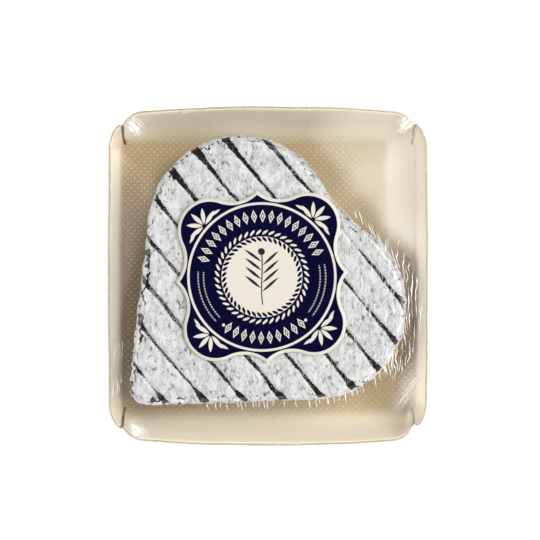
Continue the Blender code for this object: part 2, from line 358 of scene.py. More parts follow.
def grow(sculpt, edges, row):
    """Extrudes a closed row of edges. Gives the new edges, and the new row in the old one's order."""
    made = set(bmesh.ops.extrude_edge_only(sculpt, edges=edges)["geom"])
    upright = [next(e for e in vertex.link_edges if e.other_vert(vertex) in made) for vertex in row]
    fresh = [edge.other_vert(vertex) for edge, vertex in zip(upright, row)]
    rungs = set(upright)
    return [item for item in made if isinstance(item, bmesh.types.BMEdge) and item not in rungs], fresh


stations = stations_round(SIDE_STEPS, CORNER_STEPS)
QUARTER = SIDE_STEPS + CORNER_STEPS
slits = [quarter * QUARTER + SIDE_STEPS + CORNER_STEPS // 2 for quarter in range(4)]

dish = bmesh.new()
blank_layer = dish.verts.layers.float_vector.new("blank")
slit_layer = dish.verts.layers.float.new("from_slit")
rim_layer = dish.verts.layers.float.new("to_rim")
row = [dish.verts.new(station.place(0, 0.0)) for station in stations]
edges = [dish.edges.new(ends) for ends in zip(row, row[1:] + row[:1])]
floor_face = dish.faces.new(row)
rows = [row]
rim_step = FOLD_STEPS + FLAP_STEPS
for step in range(1, rim_step + 1):
    edges, row = grow(dish, edges, row)
    flap = max(0.0, (step - FOLD_STEPS) / FLAP_STEPS)
    for index, (vertex, station) in enumerate(zip(row, stations)):
        slit = min(slits, key=lambda s: abs((index - s + 2 * QUARTER) % (4 * QUARTER) - 2 * QUARTER))
        end = stations[slit].place(step, 0.0)
        vertex.co = station.place(step, 0.0)
        from_slit = (vertex.co - end).length
        vertex[slit_layer] = from_slit / MM + 0.25 * max(0, SLIT_ROW + 3 - step)
        past = index > slit
        long_flap = past if slit in (slits[0], slits[2]) else not past
        depth, width = SHOULDERS[long_flap]
        drop = depth * math.exp(-(from_slit / width) ** 2) * flap * flap
        drop *= OPEN_SLIT if slit == slits[3] else 1.0
        lean = station.profile[step][2]
        vertex.co -= raised(station.way * math.cos(lean), math.sin(lean)) * drop
        vertex.co.xy += station.way * BUCKLE * flap * noise.noise(vertex.co / BUCKLE_SIZE)
        sideways = math.copysign(SLIT_BOW, end.x) * math.sin(math.pi * min(1.0, step / (rim_step - 1)))
        vertex.co.x += sideways * math.exp(-(from_slit / SLIT_BOW_WIDTH) ** 2)
        vertex[rim_layer] = (station.run(rim_step) - station.run(step)) / MM
        vertex[blank_layer] = raised(station.foot + station.way * station.run(step), 0.0) / MM
    rows.append(row)

for slit in slits:
    spine = [line[slit] for line in rows[SLIT_ROW:]]
    station = stations[slit]
    aside = raised((-station.way.y, station.way.x), 0.0)
    torn = [next(e for e in a.link_edges if e.other_vert(a) is b) for a, b in zip(spine, spine[1:])]
    places = [vertex.co.copy() for vertex in spine]
    sides = {}
    for edge in torn:
        for face in edge.link_faces:
            sides[face] = 1 if (face.calc_center_median() - places[0]).dot(aside) > 0 else -1
    bmesh.ops.split_edges(dish, edges=torn)
    moved = set()
    for face, past in sides.items():
        over = past if slit in (slits[0], slits[2]) else -past
        for vertex in face.verts:
            step = next((i for i, place in enumerate(places) if (vertex.co - place).length < 1e-7), 0)
            if step and vertex not in moved:
                moved.add(vertex)
                share = min(1.0, step / LAP_STEPS)
                vertex.co += (raised((0, 0), LAP_LIFT) * over - aside * past * LAP) * share
bmesh.ops.recalc_face_normals(dish, faces=dish.faces[:])
if floor_face.normal.z < 0:
    bmesh.ops.reverse_faces(dish, faces=dish.faces[:])
for vertex in floor_face.verts:
    vertex[blank_layer] = raised(vertex.co, 0.0) / MM
    vertex[slit_layer] = 9.0
    vertex[rim_layer] = 20.0

board = Finish("printed_board", roughness=0.34, specular_ior_level=0.5)
place = board.place()
x, y, _ = board.split(board.node("Attribute", {"attribute_name": "blank"}, output=1))
to_end = abs(y)
to_rim = board.attribute("to_rim")
cells = [(way * (1 / DOT_PITCH / math.sqrt(2))).math("FRACT") - 0.5 for way in (x + y, x - y)]
from_dot = (cells[0] * cells[0] + cells[1] * cells[1]).math("SQRT") * DOT_PITCH
dots = board.ramp(from_dot, DOT_RADIUS + DOT_BLUR, DOT_RADIUS - DOT_BLUR)
shown = board.ramp(board.mottle(place, 9.0), 0.35, 0.7, 0.6, 1.0)
shown = shown * board.ramp(to_rim + to_end * 0.2, 9.0, 19.0, 0.2, 1.0)
shown = shown * board.ramp(x + y, 64.0, 84.0, 0.75, 0.2) * board.ramp(y, -49.0, -44.5)
cloud = board.ramp(board.mottle(place, 18.0), 0.3, 0.7)
grain = board.ramp(board.mottle(place, 0.5, 4.0), 0.3, 0.7)
# Painted shade: the floor is painted browner in the narrow gaps beside the cheese and its lobe.
left = board.ramp(x, -39.0, -45.0) * board.ramp(to_end, 44.0, 30.0)
by_lobe = board.ramp(x, 41.0, 44.0) * board.ramp(abs(y + 20.0), 22.0, 10.0)
gap_shade = left.math("MAXIMUM", by_lobe) * board.ramp(to_rim, 8.0, 12.0)
# Painted light: side flaps and a floor patch right of the cheese are painted paler, standing in for light
# and film sheen.
side_flaps = board.ramp(to_rim, 14.0, 8.0) * board.ramp(to_end, 50.0, 43.0)
upper_right = board.ramp(x, 38.0, 41.5) * board.ramp(y, 3.0, 15.0) * 0.6
# Painted shade: a dark brown line along each slit, where one flap lies over and shades the other.
cut = board.ramp(board.attribute("from_slit") + grain * 0.3, 0.9, 0.6)
board.feed("Base Color", board.coats(
    board.blend(cloud, TAN, LIGHT_TAN),
    (gap_shade, GAP_SHADE_TAN),
    (side_flaps.math("MAXIMUM", upper_right), PAINTED_LIGHT_TAN),
    # Painted light: end flaps painted pale, palest at the fold the cheese shades, less pale toward the rim.
    (board.ramp(to_end, 43.5, 49.0), END_FOLD_LIGHT_TAN),
    (board.ramp(to_end, 50.0, 55.0), END_RIM_LIGHT_TAN),
    (grain * 0.15, GRAIN_TAN),
    (dots * shown, board.blend(board.ramp(to_end, 43.5, 47.0), FLOOR_DOT, FLAP_DOT)),
    # Painted highlight: a cream line along the rim.
    (board.ramp(to_rim, 0.75, 0.45) * 0.8, RIM_HIGHLIGHT_CREAM),
    (cut, SLIT_SHADE_BROWN),
))
board.feed("Normal", board.relief(grain * 0.6 + dots * 0.5, 0.03))


def bare_board(name, roughness, fibre_size, dark, pale, depth):
    """Board without print or laminate, with its fibres showing."""
    bare = Finish(name, roughness=roughness)
    fibre = bare.ramp(bare.mottle(bare.place(), fibre_size, 4.0), 0.3, 0.7)
    bare.feed("Base Color", bare.blend(fibre, dark, pale))
    bare.feed("Normal", bare.relief(fibre, depth))
    return bare


plain_board = bare_board("plain_board", 0.7, 0.9, BARE_TAN, BARE_PALE, 0.05)
cut_board = bare_board("cut_board", 0.8, 0.6, BARE_BROWN, BARE_PALE, 0.08)

tray = show("pressed_board_tray", dish, board, plain_board, cut_board)
body = tray.modifiers.new("board", "SOLIDIFY")
body.thickness = BOARD
body.offset = 0.0
body.use_even_offset = True
body.material_offset = 1
body.material_offset_rim = 2
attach(tray, "root")
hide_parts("tray")


# Cheese. A small soft heart, turned out on a wire rack. Its rind is white, finely wrinkled and dusted
# with ash, which stays black in the print of the rack's wires and in the cracks along its edge.
CHEESE_FOOT, CHEESE_TOP = (corner.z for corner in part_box("cheese"))
HEART_POINT = Vector((-40.2, -37.1)) * MM
HEART_AXIS = math.radians(42.8)
POINT_RADIUS = 5.8 * MM
LOBE_RADIUS = 30.8 * MM
LOBE = Vector((58.7, 17.7)) * MM
NOTCH_RADIUS = 34.5 * MM
TOP_EDGE = 2.6 * MM
FOOT_EDGE = 3.8 * MM
OUTLINE_SPACING = 1.5 * MM
FINDER_SPACING = 0.25 * MM
RIND_CELL = 0.475 * MM
RIND_SEED = 5
WIRE_COUNT = 9
WIRE_PITCH = 10.2 * MM
WIRE_FIRST = 1.6 * MM
# How much narrower than WIRE_HALF each print is, and how much it blots at its upper left end, in
# millimetres.
WIRE_FAINT = (0.34, 0.16, 0.0, 0.0, 0.05, 0.0, 0.08, 0.0, 0.08)
WIRE_BLOT = (0.0, 0.05, 0.12, 0.15, 0.3, 0.5, 0.6, 0.6, 0.45)
WIRE_HALF = 0.52
WIRE_DEPTH = 0.55
ALONG_RACK = heading(math.radians(40.0))
ACROSS_RACK = Vector((-ALONG_RACK.y, ALONG_RACK.x))
# Painted shade: the way the key lamp lies, and the grey painted on sides that face it.
LIT_SIDE = heading(0.6)
WOOL_GREY = colour(181, 181, 180)
WOOL_WHITE = colour(214, 214, 213)
DUST_WHITE = colour(223, 223, 222)
CLOUD_GREY = colour(188, 188, 188)
LIT_SIDE_GREY = colour(158, 158, 160)
WORM_GREY = colour(120, 120, 121)
PIT_GREY = colour(92, 92, 93)
SOOT = colour(9, 9, 10)
SOOT_GREY = colour(132, 132, 132)


def heart_ring(spacing):
    """Points round the heart, counterclockwise, each with the outward normal there."""
    side = math.atan2(LOBE.y, LOBE.x) + math.asin((LOBE_RADIUS - POINT_RADIUS) / LOBE.length) + math.pi / 2
    notch = LOBE.x + math.sqrt((LOBE_RADIUS + NOTCH_RADIUS) ** 2 - LOBE.y**2)
    inner = math.atan2(-LOBE.y, notch - LOBE.x)
    half = []

    def arc(centre, radius, start, end, outward=1):
        count = max(3, round(abs(end - start) * radius / spacing))
        for step in range(count):
            ray = heading(start + (end - start) * step / count)
            half.append((centre + ray * radius, ray * outward))

    arc(Vector((0, 0)), POINT_RADIUS, math.pi, side)
    start, end = heading(side) * POINT_RADIUS, LOBE + heading(side) * LOBE_RADIUS
    count = round((end - start).length / spacing)
    half += [(start.lerp(end, step / count), heading(side)) for step in range(count)]
    arc(LOBE, LOBE_RADIUS, side, inner)
    arc(Vector((notch, 0)), NOTCH_RADIUS, inner + math.pi, math.pi, outward=-1)
    half.append((Vector((notch - NOTCH_RADIUS, 0)), Vector((1, 0))))
    mirrored = [(Vector((p.x, -p.y)), Vector((n.x, -n.y))) for p, n in half[1:-1]]
    turn = Matrix.Rotation(HEART_AXIS, 2)
    whole = [half[0]] + mirrored + half[:0:-1]
    return [(HEART_POINT + turn @ point, turn @ normal) for point, normal in whole]


outline = heart_ring(OUTLINE_SPACING)
heart = bmesh.new()
base = heart.faces.new([heart.verts.new(raised(point, CHEESE_FOOT)) for point, _ in outline])
made = bmesh.ops.extrude_face_region(heart, geom=[base])["geom"]
bmesh.ops.translate(heart, verts=[item for item in made if isinstance(item, bmesh.types.BMVert)],
                    vec=(0, 0, CHEESE_TOP - CHEESE_FOOT))
bmesh.ops.recalc_face_normals(heart, faces=heart.faces[:])
for level, radius in ((CHEESE_TOP, TOP_EDGE), (CHEESE_FOOT, FOOT_EDGE)):
    hem = [edge for edge in heart.edges if all(abs(end.co.z - level) < 1e-6 for end in edge.verts)]
    bmesh.ops.bevel(heart, geom=hem, offset=radius, offset_type="OFFSET", segments=6, profile=0.5,
                    affect="EDGES", material=-1)
blank_heart = show("blank_heart", heart)
cells = blank_heart.modifiers.new("cells", "REMESH")
cells.mode = "VOXEL"
cells.voxel_size = RIND_CELL
even = bpy.data.meshes.new_from_object(blank_heart.evaluated_get(bpy.context.evaluated_depsgraph_get()))
bpy.data.objects.remove(blank_heart)

finder_ring = heart_ring(FINDER_SPACING)
edge_finder = kdtree.KDTree(len(finder_ring))
for index, (point, _) in enumerate(finder_ring):
    edge_finder.insert(raised(point, 0.0), index)
edge_finder.balance()

wires = []
for index in range(WIRE_COUNT):
    start = HEART_POINT + ALONG_RACK * (WIRE_FIRST + WIRE_PITCH * index)
    crossed = []
    for (a, _), (b, _) in zip(outline, outline[1:] + outline[:1]):
        before, after = (a - start).dot(ALONG_RACK), (b - start).dot(ALONG_RACK)
        if (before < 0) != (after < 0):
            crossed.append((a.lerp(b, before / (before - after)) - start).dot(ACROSS_RACK))
    wires.append((start, min(crossed), max(crossed)))


def ease(value, start, end):
    """Eases from 0 at start to 1 at end."""
    share = max(0.0, min(1.0, (value - start) / (end - start)))
    return share * share * (3 - 2 * share)


def window(value, low, high, soft):
    """1 between low and high, easing to 0 over soft outside them."""
    return min(ease(value, low - soft, low), ease(value, high + soft, high))


def waver(x, size, seed):
    """Smooth noise along a line, with lumps of that size."""
    return noise.noise(Vector((x / size, 7.3 * seed, 1.7 * seed + 0.5)))


def wire_print(spot):
    """Distance outside the print of the nearest wire and how deep the print is, in millimetres, and how
    much pale ash lies in it."""
    run = (spot - HEART_POINT).dot(ALONG_RACK)
    index = min(WIRE_COUNT - 1, max(0, round((run - WIRE_FIRST) / WIRE_PITCH)))
    start, low, high = wires[index]
    reach = (spot - start).dot(ACROSS_RACK)
    sway = 0.4 * waver(reach, 9 * MM, index) + 0.2 * waver(reach, 2.2 * MM, index + 20)
    distance = abs((spot - start).dot(ALONG_RACK) / MM + sway)
    first, last = (reach - low) / MM, (high - reach) / MM
    blot = 0.42 * math.exp(-max(0.0, first - 2.5) / 2.6)
    blot += WIRE_BLOT[index] * math.exp(-max(0.0, last - 2.5) / 4.5)
    ragged = 0.5 + 0.9 * waver(reach, 1.6 * MM, index + 60)
    half = WIRE_HALF + 0.2 * waver(reach, 4 * MM, index + 40) + blot * (0.75 + ragged)
    faint = 0.35 * ease(waver(reach, 13 * MM, index + 80), 0.1, 0.45) + WIRE_FAINT[index]
    faint *= ease(min(first, last), 3, 7)
    pale = min(1.0, 1.6 * faint + (1 - 2 * WIRE_BLOT[index]) * ease(last, 22, 14))
    pale = pale * ease(last, 3, 6) - max(ease(first, 7, 3), ease(last, 5, 3))
    trough = WIRE_DEPTH * math.exp(-((distance / (half + 0.15)) ** 2))
    return distance - half + faint, trough, pale


def ridges(point, size, seed):
    """Sharp-crested noise from 0 to 1, with wrinkles about size apart."""
    place = point / size + Vector((seed, 2 * seed, 3 * seed))
    return 1 - min(1.0, 2.2 * abs(noise.noise(place + noise.noise_vector(place * 0.6) * 0.5)))


rind = bmesh.new()
rind.from_mesh(even)
bpy.data.meshes.remove(even)
rind.normal_update()
print_layer = rind.verts.layers.float.new("print")
crack_layer = rind.verts.layers.float.new("crack")
worn_layer = rind.verts.layers.float.new("worn")
lit_side_layer = rind.verts.layers.float.new("lit_side_grey")
inside_layer = rind.verts.layers.float.new("inside")
pale_layer = rind.verts.layers.float.new("pale")
# Unseeded, the way the ridges wander would start from the clock.
noise.seed_set(RIND_SEED)
moves = []
for vertex in rind.verts:
    point, normal = vertex.co, vertex.normal
    spot = point.xy
    outside_print, trough, vertex[pale_layer] = wire_print(spot)
    inside = edge_finder.find(raised(spot, 0.0))[2] / MM
    level = point.z + 1.5 * MM * noise.noise(point / (4 * MM))
    upper = ease(level, CHEESE_TOP - 7 * MM, CHEESE_TOP - 2 * MM)
    flat = ease(abs(normal.z), 0.5, 0.95)
    drawn = Vector((point.x, point.y * 0.6, point.z))
    lumps = 0.42 * noise.noise(point / (8 * MM)) + 0.3 * noise.noise(point / (3.6 * MM))
    wrinkle = 0.3 * ridges(drawn, 2.4 * MM, 5.0) + 0.16 * ridges(drawn, 1.2 * MM, 9.0)
    fine = 0.07 * noise.noise(point / (0.8 * MM))
    bearing = math.degrees(math.atan2(spot.y, spot.x)) % 360
    edge_line = 1.4 + 0.9 * noise.noise(raised(spot, 0) / (6 * MM))
    edge_line += 1.6 * noise.noise(raised(spot, 1) / (1.7 * MM))
    crack = inside - edge_line
    worn = 0.3 + 0.3 * window(bearing, 100, 170, 15) + 0.7 * window(bearing, 170, 228, 10)
    worn *= ease(noise.noise(raised(spot, 0.01) / (4 * MM)), -0.5 * worn, 0.15) * upper
    split = 0.35 * worn * math.exp(-((crack / 0.4) ** 2))
    lift = (lumps + wrinkle - 0.36) * (1 - 0.45 * flat) + fine - trough * upper
    lift += 0.6 * (1 - flat) * noise.noise(point / (2.2 * MM)) - split
    moves.append(normal * (lift - 0.1) * MM)
    vertex[print_layer] = outside_print + 3.0 * (1 - upper)
    vertex[crack_layer] = crack
    vertex[worn_layer] = worn
    # Painted shade: marks the sides that face the key lamp, to be painted greyer and more pitted.
    vertex[lit_side_layer] = ease(normal.dot(raised(LIT_SIDE, 0.0)), 0.05, 0.7)
    vertex[inside_layer] = inside + 3.0 * (1 - upper)
for vertex, move in zip(rind.verts, moves):
    vertex.co += move
    vertex.co.z = max(CHEESE_FOOT, min(vertex.co.z, CHEESE_TOP))

coating = Finish("ash_rind", roughness=0.85, specular_ior_level=0.25)
place = coating.place()
x, y, z = coating.split(place)
drawn = coating.join(x, y * 0.55, z)
lit_side_grey = coating.attribute("lit_side_grey")
dust = coating.ramp(coating.mottle(place, 0.8, 3.0), 0.30, 0.70)
cloud = coating.ramp(coating.mottle(place, 6.0, 2.0), 0.35, 0.65)
wool = coating.ramp(coating.mottle(drawn, 1.5, 2.0, 0.6), 0.30, 0.62)
worms = coating.ramp(abs(coating.mottle(drawn, 1.7, 1.5, 0.6) - 0.5), 0.035, 0.0)
worms = worms * coating.ramp(coating.mottle(place, 2.2, 1.0), 0.42, 0.6)
pits = coating.ramp(cloud * 0.09 + lit_side_grey * 0.05 + coating.mottle(drawn, 1.1, 3.0), 0.63, 0.80)
pale = coating.coats(
    coating.blend(wool, WOOL_GREY, WOOL_WHITE),
    (dust * 0.4, DUST_WHITE),
    (cloud * 0.35, CLOUD_GREY),
    # Painted shade: greyer where the sides face the key lamp.
    (lit_side_grey * 0.5, LIT_SIDE_GREY),
    (worms * 0.45, WORM_GREY),
    (pits * 0.8, PIT_GREY),
)
ragged = (coating.mottle(place, 0.7, 3.0) - 0.5) * 1.5
printed = coating.ramp(coating.attribute("print") + ragged * 0.55, 0.2, -0.06)
thickness = coating.attribute("worn") * 0.65 + (coating.mottle(place, 1.0, 1.0) - 0.55) * 1.3
cracked = coating.ramp(thickness - abs(coating.attribute("crack") + ragged * 0.6), 0.0, 0.18)
cracked = cracked * coating.ramp(coating.attribute("worn"), 0.05, 0.3)
fringe = coating.attribute("inside") + (coating.mottle(place, 1.9, 3.0) - 0.5) * 9.0
fringe = coating.ramp(fringe + ragged * 0.4, -0.4, -1.1)
dark = printed.math("MAXIMUM", cracked).math("MAXIMUM", fringe)
caught = coating.mottle(place, 0.5, 2.0) + coating.mottle(place, 4.0, 1.0) * 0.5
caught = coating.ramp(caught + coating.attribute("pale") * 0.13, 0.78, 0.96) * (1 - cracked * 0.7)
coating.feed("Base Color", coating.blend(dark, pale, coating.blend(caught, SOOT, SOOT_GREY)))
coating.feed("Normal", coating.relief(dust * 0.4 + wool * 1.2 - pits * 1.2 - worms * 0.8, 0.16))

cheese = show("ash_coated_cheese", rind, coating)
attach(cheese, "root")
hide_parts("cheese")


# Film. Clear shrink film, drawn tight from the cheese's top to the rim and round it, and sealed in a lap
# under the floor. It was pulled lengthwise, so its fine creases run up and down the picture.
CLEARANCE = 0.12 * MM
UNDERSIDE = 0.10 * MM
LABEL_CENTRE = Vector((-2.1, -0.3)) * MM
SAG = 0.045
RIM_ROUNDING = 0.7
SEAM_HALF = Vector((30.0, 0.8)) * MM
SEAM_CORNER = 0.6 * MM
TOP_STEPS = 12
SHOULDER_STEPS = 6
TENT_STEPS = 60
RIM_STEPS = 8
UNDER_STEPS = 10
FILM_SIDE_STEPS = 96
FILM_CORNER_STEPS = 56
# Where the film is gathered: the middle and size of each patch in millimetres, how much longer than wide
# it is, and how strong.
GATHERS = (
    (-44.8, 49.9, 2.9, 1.2, 1.0),
    (45.9, 50.8, 2.9, 1.3, 1.0),
    (-44.2, -51.2, 2.8, 1.2, 1.0),
    (47.0, -38.3, 3.0, 2.4, 0.6),
)
GATHER_SLANT = 40
PLEAT_HEIGHT = 0.45
PLEAT_PITCH = 4.5
SWELL_HEIGHT = 0.25
# Windows of bearing from the label, in degrees, for the cheese's lower edge and for the short creases
# round its edge. Each of these begins with their length in millimetres.
LOWER_EDGE = (-112, -24, 4)
HAIRS = ((3.7, LOWER_EDGE), (3.2, (6, 33, 4)), (2.8, (-48, -43, 2)), (2.8, (-34, -30, 2)))
HAIR_WIDTH = 0.14
# Painted reflection: the most sheen, and its cream colour, painted over the film.
SHEEN_LIMIT = 0.23
# Painted highlights: the white of the glints on the film's creases.
GLINT_WHITE = (0.95, 0.95, 0.94, 1)
SHEEN_CREAM = (0.98, 0.93, 0.79, 1)
SHINE = (1, 0.96, 0.85, 1)
SHINE_HEAD_ON = 0.036
# Painted highlights: how white the creases and folds are painted.
GLINT_SHARE = 0.97

tips = geometry.convex_hull_2d([point for point, _ in outline])
hull = [outline[index] for index in tips]


def hull_edge_towards(bearing):
    """Where a ray from the label's centre leaves the heart's hull, and the outward normal there."""
    ray = heading(bearing)
    aside = Vector((-ray.y, ray.x))
    for (a, normal_a), (b, normal_b) in zip(hull, hull[1:] + hull[:1]):
        before, after = (a - LABEL_CENTRE).dot(aside), (b - LABEL_CENTRE).dot(aside)
        if (before < 0) != (after < 0) and (a + b - 2 * LABEL_CENTRE).dot(ray) > 0:
            share = before / (before - after)
            return a.lerp(b, share), normal_a.lerp(normal_b, share).normalized()


def film_section(station, end):
    """The film from the label's centre out to the rim and back under the floor, as (place, part, share).
    Also where it passes the edge of the heart."""
    last = len(station.profile) - 1
    rim = station.place(last, 0.0)
    lean = station.profile[last][2]
    along = raised(station.way * math.cos(lean), math.sin(lean))
    off = raised(station.way * math.sin(lean), -math.cos(lean))
    bearing = math.atan2(rim.y - LABEL_CENTRE.y, rim.x - LABEL_CENTRE.x)
    spot, normal = hull_edge_towards(bearing)
    brink = spot - normal * TOP_EDGE
    radius = TOP_EDGE + CLEARANCE
    slope = math.atan2(CHEESE_TOP - rim.z, (rim.xy - spot).length)
    section = []
    for step in range(1, TOP_STEPS + 1):
        share = step / TOP_STEPS
        section.append((raised(LABEL_CENTRE.lerp(brink, share), CHEESE_TOP + CLEARANCE), "top", share))
    for step in range(1, SHOULDER_STEPS + 1):
        angle = slope * step / SHOULDER_STEPS
        height = CHEESE_TOP - TOP_EDGE + radius * math.cos(angle)
        place = raised(brink + normal * radius * math.sin(angle), height)
        section.append((place, "shoulder", step / SHOULDER_STEPS))
    leave = section[-1][0]
    wrap = BOARD / 2 + CLEARANCE
    meet = rim + along * CLEARANCE - off * wrap
    for step in range(1, TENT_STEPS + 1):
        share = step / TENT_STEPS
        sag = 4 * SAG * (meet - leave).length * share * (1 - share)
        section.append((leave.lerp(meet, share) - Vector((0, 0, sag)), "tent", share))
    for step in range(1, RIM_STEPS):
        angle = math.pi * step / RIM_STEPS
        out = CLEARANCE + wrap * math.sin(angle) * RIM_ROUNDING
        place = rim + along * out - off * wrap * math.cos(angle)
        section.append((place, "rim", step / RIM_STEPS))
    for step in range(last, -1, -1):
        place = station.place(step, wrap)
        place.z = max(place.z, UNDERSIDE)
        section.append((place, "wall", 1 - step / last))
    start = section[-1][0]
    for step in range(1, UNDER_STEPS + 1):
        share = step / UNDER_STEPS
        section.append((raised(start.xy.lerp(end, share), UNDERSIDE), "under", share))
    return section, spot


def sheen_amount(wide, long, beyond, bearing):
    """How much painted sheen, standing in for the film's reflection, lies over the floor and the rim: right
    of the cheese, and at the left rim and the right one."""
    panel = ease(wide, 38.5 - 0.2 * (44 - long), 40.5) * ease(long, 44.6 + 5 * ease(wide, 44, 50), 43.6)
    painted_sheen = 0.17 * window(bearing, -34, 62, 14) * (ease(beyond, 3, 11) + panel * ease(long, 4, 24))
    painted_sheen += (0.16 + 0.07 * ease(-long, 0, 25)) * ease(-wide, 48, 51)
    painted_sheen += 0.22 * ease(wide + 0.3 * max(0.0, -33 - long), 49.3, 51.0) * window(long, -46, 10, 8)
    return min(painted_sheen, SHEEN_LIMIT)


def gathering(spot):
    """How much the film is gathered at a spot in millimetres."""
    most = 0.0
    for cx, cy, size, stretch, amount in GATHERS:
        slant = Matrix.Rotation(math.copysign(math.radians(GATHER_SLANT), cx), 2)
        off = slant @ (spot - Vector((cx, cy))) / size
        most = max(most, amount * math.exp(-(off.x**2 + (off.y / stretch) ** 2)))
    return most


film_stations = stations_round(FILM_SIDE_STEPS, FILM_CORNER_STEPS)
seam = rounded_frame(SEAM_HALF, SEAM_CORNER, sides=FILM_SIDE_STEPS, corners=FILM_CORNER_STEPS)
sections, spots = zip(*[film_section(station, end) for station, end in zip(film_stations, seam)])

wrap = bmesh.new()
marks = ("beyond", "hair", "strand", "glint_streak", "gather", "painted_sheen")
layers = [wrap.verts.layers.float.new(mark) for mark in marks]
row = [wrap.verts.new(section[-1][0]) for section in sections]
edges = [wrap.edges.new(ends) for ends in zip(row, row[1:] + row[:1])]
wrap.faces.new(row)
grid = [row]
for step in range(len(sections[0]) - 2, -1, -1):
    edges, row = grow(wrap, edges, row)
    for vertex, section in zip(row, sections):
        vertex.co = section[step][0]
    grid.append(row)
crown = bmesh.ops.edgeloop_fill(wrap, edges=edges)["faces"]
bmesh.ops.poke(wrap, faces=crown)
bmesh.ops.recalc_face_normals(wrap, faces=wrap.faces[:])
wrap.normal_update()
grid.reverse()

moves = []
for index, section in enumerate(sections):
    leave = section[TOP_STEPS + SHOULDER_STEPS - 1][0]
    meet = section[TOP_STEPS + SHOULDER_STEPS + TENT_STEPS - 1][0]
    bearing = math.degrees(math.atan2(leave.y - LABEL_CENTRE.y, leave.x - LABEL_CENTRE.x))
    near = window(bearing, *LOWER_EDGE)
    hair = sum(length * window(bearing, *arc) for length, arc in HAIRS)
    brink = (spots[index] - leave.xy).length / MM
    for step, (place, part, share) in enumerate(section):
        to_rim = (meet - place).length / MM
        beyond = (place.xy - leave.xy).length / MM * (-1 if part in ("top", "shoulder") else 1) - brink
        wide, long = place.xy / MM
        # Painted reflection: a cream sheen over the film near the rims.
        painted_sheen = sheen_amount(wide, long, beyond, bearing) if part in ("tent", "rim") else 0.0
        gathered = strand = glint_streak = lift = 0.0
        if part == "tent":
            strand = window(bearing, -36, 14, 6) * window(beyond, 0.3, 4.5, 2.5)
            strand = max(strand, 1.5 * window(bearing, -154, -142, 2) * window(to_rim, 1.0, 5.5, 1.2))
            swell = noise.noise(Vector((place.x / (2.6 * MM), place.y / (16 * MM), 1.7)))
            swell *= max(strand, 0.5 * near * math.exp(-abs(beyond) / 3))
            lift = SWELL_HEIGHT * swell * ease(share, 0, 0.1)
            # Painted highlights: white streaks at the upper rim and on the film over the cheese's right
            # side.
            glint_streak = 1.6 * window(wide, -29, -19, 1.5) * window(to_rim, 0, 1.4, 0.6) * (long > 40)
        if part == "top":
            glint_streak = window(wide, 27, 44, 3) * window(long, -33, 8, 6)
        if part == "under":
            gathered = 0.3 * share
        if part in ("tent", "rim", "wall"):
            gathered = gathering(place.xy / MM)
            pleat = noise.noise(Vector((index / PLEAT_PITCH, to_rim / 25, 8.2)))
            lift += PLEAT_HEIGHT * pleat * gathered**3 * (1 if part == "tent" else 0.35)
        for layer, value in zip(layers, (beyond, hair, strand, glint_streak, gathered, painted_sheen)):
            grid[step][index][layer] = value
        moves.append((grid[step][index], grid[step][index].normal * lift * MM))
for vertex, move in moves:
    vertex.co += move

skin = Finish("clear_film", roughness=0.25)
place = skin.place()
x, y, _ = skin.split(place)
bend = (skin.mottle(place, 5.0, 1.0) - 0.5) * 1.6 + (skin.mottle(place, 1.8, 0.0) - 0.5) * 0.7
beyond = skin.attribute("beyond")


def line(across, pitch, seed):
    """The nearest of many side by side: how far off it is, in mm, and two dice of its own."""
    step = across / pitch + seed
    dice = skin.node("TexWhiteNoise", {"noise_dimensions": "1D"}, {"W": step.math("FLOOR")}, output=1)
    chance, shift, size = skin.split(dice)
    return abs(step.math("FRACT") - shift * 0.5 - 0.25) * pitch, chance, size


def hairs(pitch, lean, seed):
    """Short tapering creases that start at the edge of the cheese."""
    off, chance, size = line(x + y * lean + bend * 0.3, pitch, seed)
    longest = skin.attribute("hair") * (size * 0.5 + 0.5)
    width = ((1 - beyond / (longest + 0.01)) * 0.3).math("MINIMUM", HAIR_WIDTH)
    shown = skin.ramp(chance, 0.25, 0.4) * skin.ramp(beyond, -0.5, 0.2)
    return skin.ramp(width - off, 0.0, 0.12) * shown * skin.ramp(longest, 0.2, 0.5)


def turned(turn, x):
    """Distances across and along a way turn degrees from +Y."""
    turn = math.radians(turn)
    return x * math.cos(turn) + y * math.sin(turn), y * math.cos(turn) - x * math.sin(turn)


def strands(pitch, length, turn, width, seed, x=x):
    """Tapering wavy creases that run the way turn degrees from +Y."""
    across, along = turned(turn, x)
    off, chance, size = line(across + bend, pitch, seed)
    taper = 1 - abs((along / length + chance * 9.0).math("FRACT") - 0.5) / (size * 0.25 + 0.2)
    return skin.ramp(taper * width - off, 0.0, 0.1)


strand = strands(0.75, 15.0, 3, 0.13, 0.0).math("MAXIMUM", strands(1.2, 22.0, -2, 0.17, 20.5))
strand = strand * skin.ramp(skin.attribute("strand"), 0.25, 0.9)
upper = skin.ramp(y, -12.0, 4.0)
lower_hair = hairs(2.1, 0.2, 0.0).math("MAXIMUM", hairs(2.9, 0.12, 50.5)) * (1 - upper)
hair = lower_hair.math("MAXIMUM", hairs(0.85, 0.3, 90.5) * upper)
# Painted highlights: soft white streaks.
glint_streak = skin.mottle(skin.join((x + bend) / 0.6, y / 8.0, 6.0), 1.0, 1.0)
glint_streak = skin.ramp(glint_streak, 0.56, 0.72) * skin.attribute("glint_streak")
gather = skin.attribute("gather")
crinkle = skin.mottle(place, 1.8, 2.0)
across, along = turned(-GATHER_SLANT, abs(x))
fold = skin.mottle(skin.join((across + bend) / 0.7, along / 6.0, 4.0), 1.0, 1.0)
